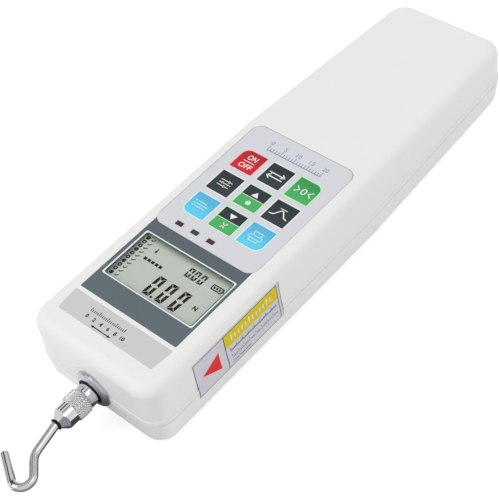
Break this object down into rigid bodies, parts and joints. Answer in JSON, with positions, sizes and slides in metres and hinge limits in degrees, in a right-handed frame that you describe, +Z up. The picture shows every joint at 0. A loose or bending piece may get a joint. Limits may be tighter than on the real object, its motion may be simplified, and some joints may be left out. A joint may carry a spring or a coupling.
{
  "type": "force gauge",
  "caption": "Hand-held digital force gauge: tapered two-shell housing, display, keypad, internal load cell, measuring spindle and a screw-on pull hook.",
  "frame": {"origin": "middle of the flat back, midway along the housing", "axes": "+Z up out of the display face, +Y along the housing away from the hook, +X to the right when the display is read"},
  "size_m": [0.066, 0.2781, 0.0362],
  "materials": {
    "housing": "smooth white powder coat on die-cast aluminium",
    "housing_rear": "smooth white powder coat on die-cast aluminium",
    "screw_steel": "zinc plated steel",
    "brass": "turned brass",
    "film": "fine-grained printed film, light silver grey",
    "spacer": "clear-ish spacer film",
    "circuit_film": "printed circuit film",
    "dome_steel": "stainless spring sheet",
    "key_red": "printed cap, red",
    "key_slate": "printed cap, dark slate",
    "key_green": "printed cap, green",
    "key_split": "printed cap, dark slate above green",
    "key_blue": "printed cap, light blue",
    "lamp_red": "dark red tinted window",
    "lamp_green": "dark green tinted window",
    "surround": "slate grey printed surround with a thin white frame line",
    "lens": "clear window",
    "lcd": "grey-green reflective display glass",
    "white_plastic": "moulded, white",
    "board": "green solder mask",
    "components": "moulded chip bodies",
    "cell_aluminium": "milled aluminium",
    "bracket": "cast and milled aluminium",
    "bushing": "grey anodised aluminium",
    "polished_steel": "polished steel",
    "hook_steel": "polished bent rod",
    "ring_rubber": "black rubber",
    "battery_can": "sleeved steel can",
    "black_plastic": "moulded, black",
    "contact_steel": "nickel plated spring steel",
    "socket_shell": "nickel plated socket shell"
  },
  "bodies": {
    "housing": {"front_housing": "housing", "rear_housing": "housing_rear", "housing_screws": "screw_steel", "mounting_inserts": "brass", "keypad_film": "film", "keypad_spacer": "spacer", "keypad_circuit": "circuit_film", "snap_domes": "dome_steel", "lamp_windows_red": "lamp_red", "lamp_window_green": "lamp_green", "display_bezel": "surround", "display_lens": "lens", "lcd_panel": "lcd", "lcd_frame": "white_plastic", "main_board": "board", "main_board_screws": "screw_steel", "board_components": "components", "load_cell": "cell_aluminium", "load_cell_bracket": "bracket", "load_cell_screws": "screw_steel", "nose_bushing": "bushing", "bushing_nut": "bushing", "battery_cells": "battery_can", "battery_tray": "black_plastic", "battery_contacts": "contact_steel", "battery_strap": "black_plastic", "end_board": "board", "end_board_screws": "screw_steel", "charge_socket": "black_plastic", "data_socket": "socket_shell"},
    "spindle": {"measuring_spindle": "polished_steel"},
    "coupling": {"knurled_coupling": "polished_steel", "hook_nut": "polished_steel", "hook_ring": "ring_rubber"},
    "hook": {"hook": "hook_steel"},
    "key_on_off": {"key_on_off": "key_red"},
    "key_unit": {"key_unit": "key_slate"},
    "key_zero": {"key_zero": "key_green"},
    "key_set": {"key_set": "key_slate"},
    "key_up": {"key_up": "key_split"},
    "key_peak": {"key_peak": "key_slate"},
    "key_memory": {"key_memory": "key_blue"},
    "key_down": {"key_down": "key_split"},
    "key_print": {"key_print": "key_blue"}
  },
  "joints": [
    {"name": "spindle_travel", "type": "slide", "parent": "housing", "child": "spindle", "axis": [0, -1, 0], "range_m": [-0.0003, 0.0003], "stiffness_N_per_m": 1000},
    {"name": "coupling_turn", "type": "hinge", "parent": "spindle", "child": "coupling", "pos_m": [0, -0.124, 0.016], "axis": [0, -1, 0], "range_deg": [0, 1080]},
    {"name": "hook_swivel", "type": "hinge", "parent": "coupling", "child": "hook", "pos_m": [0, -0.131, 0.016], "axis": [0, -1, 0], "continuous": true},
    {"name": "key_on_off_press", "type": "slide", "parent": "housing", "child": "key_on_off", "axis": [0, 0, -1], "range_m": [0, 0.00025], "stiffness_N_per_m": 200},
    {"name": "key_unit_press", "type": "slide", "parent": "housing", "child": "key_unit", "axis": [0, 0, -1], "range_m": [0, 0.00025], "stiffness_N_per_m": 200},
    {"name": "key_zero_press", "type": "slide", "parent": "housing", "child": "key_zero", "axis": [0, 0, -1], "range_m": [0, 0.00025], "stiffness_N_per_m": 200},
    {"name": "key_set_press", "type": "slide", "parent": "housing", "child": "key_set", "axis": [0, 0, -1], "range_m": [0, 0.00025], "stiffness_N_per_m": 200},
    {"name": "key_up_press", "type": "slide", "parent": "housing", "child": "key_up", "axis": [0, 0, -1], "range_m": [0, 0.00025], "stiffness_N_per_m": 200},
    {"name": "key_peak_press", "type": "slide", "parent": "housing", "child": "key_peak", "axis": [0, 0, -1], "range_m": [0, 0.00025], "stiffness_N_per_m": 200},
    {"name": "key_memory_press", "type": "slide", "parent": "housing", "child": "key_memory", "axis": [0, 0, -1], "range_m": [0, 0.00025], "stiffness_N_per_m": 200},
    {"name": "key_down_press", "type": "slide", "parent": "housing", "child": "key_down", "axis": [0, 0, -1], "range_m": [0, 0.00025], "stiffness_N_per_m": 200},
    {"name": "key_print_press", "type": "slide", "parent": "housing", "child": "key_print", "axis": [0, 0, -1], "range_m": [0, 0.00025], "stiffness_N_per_m": 200}
  ]
}
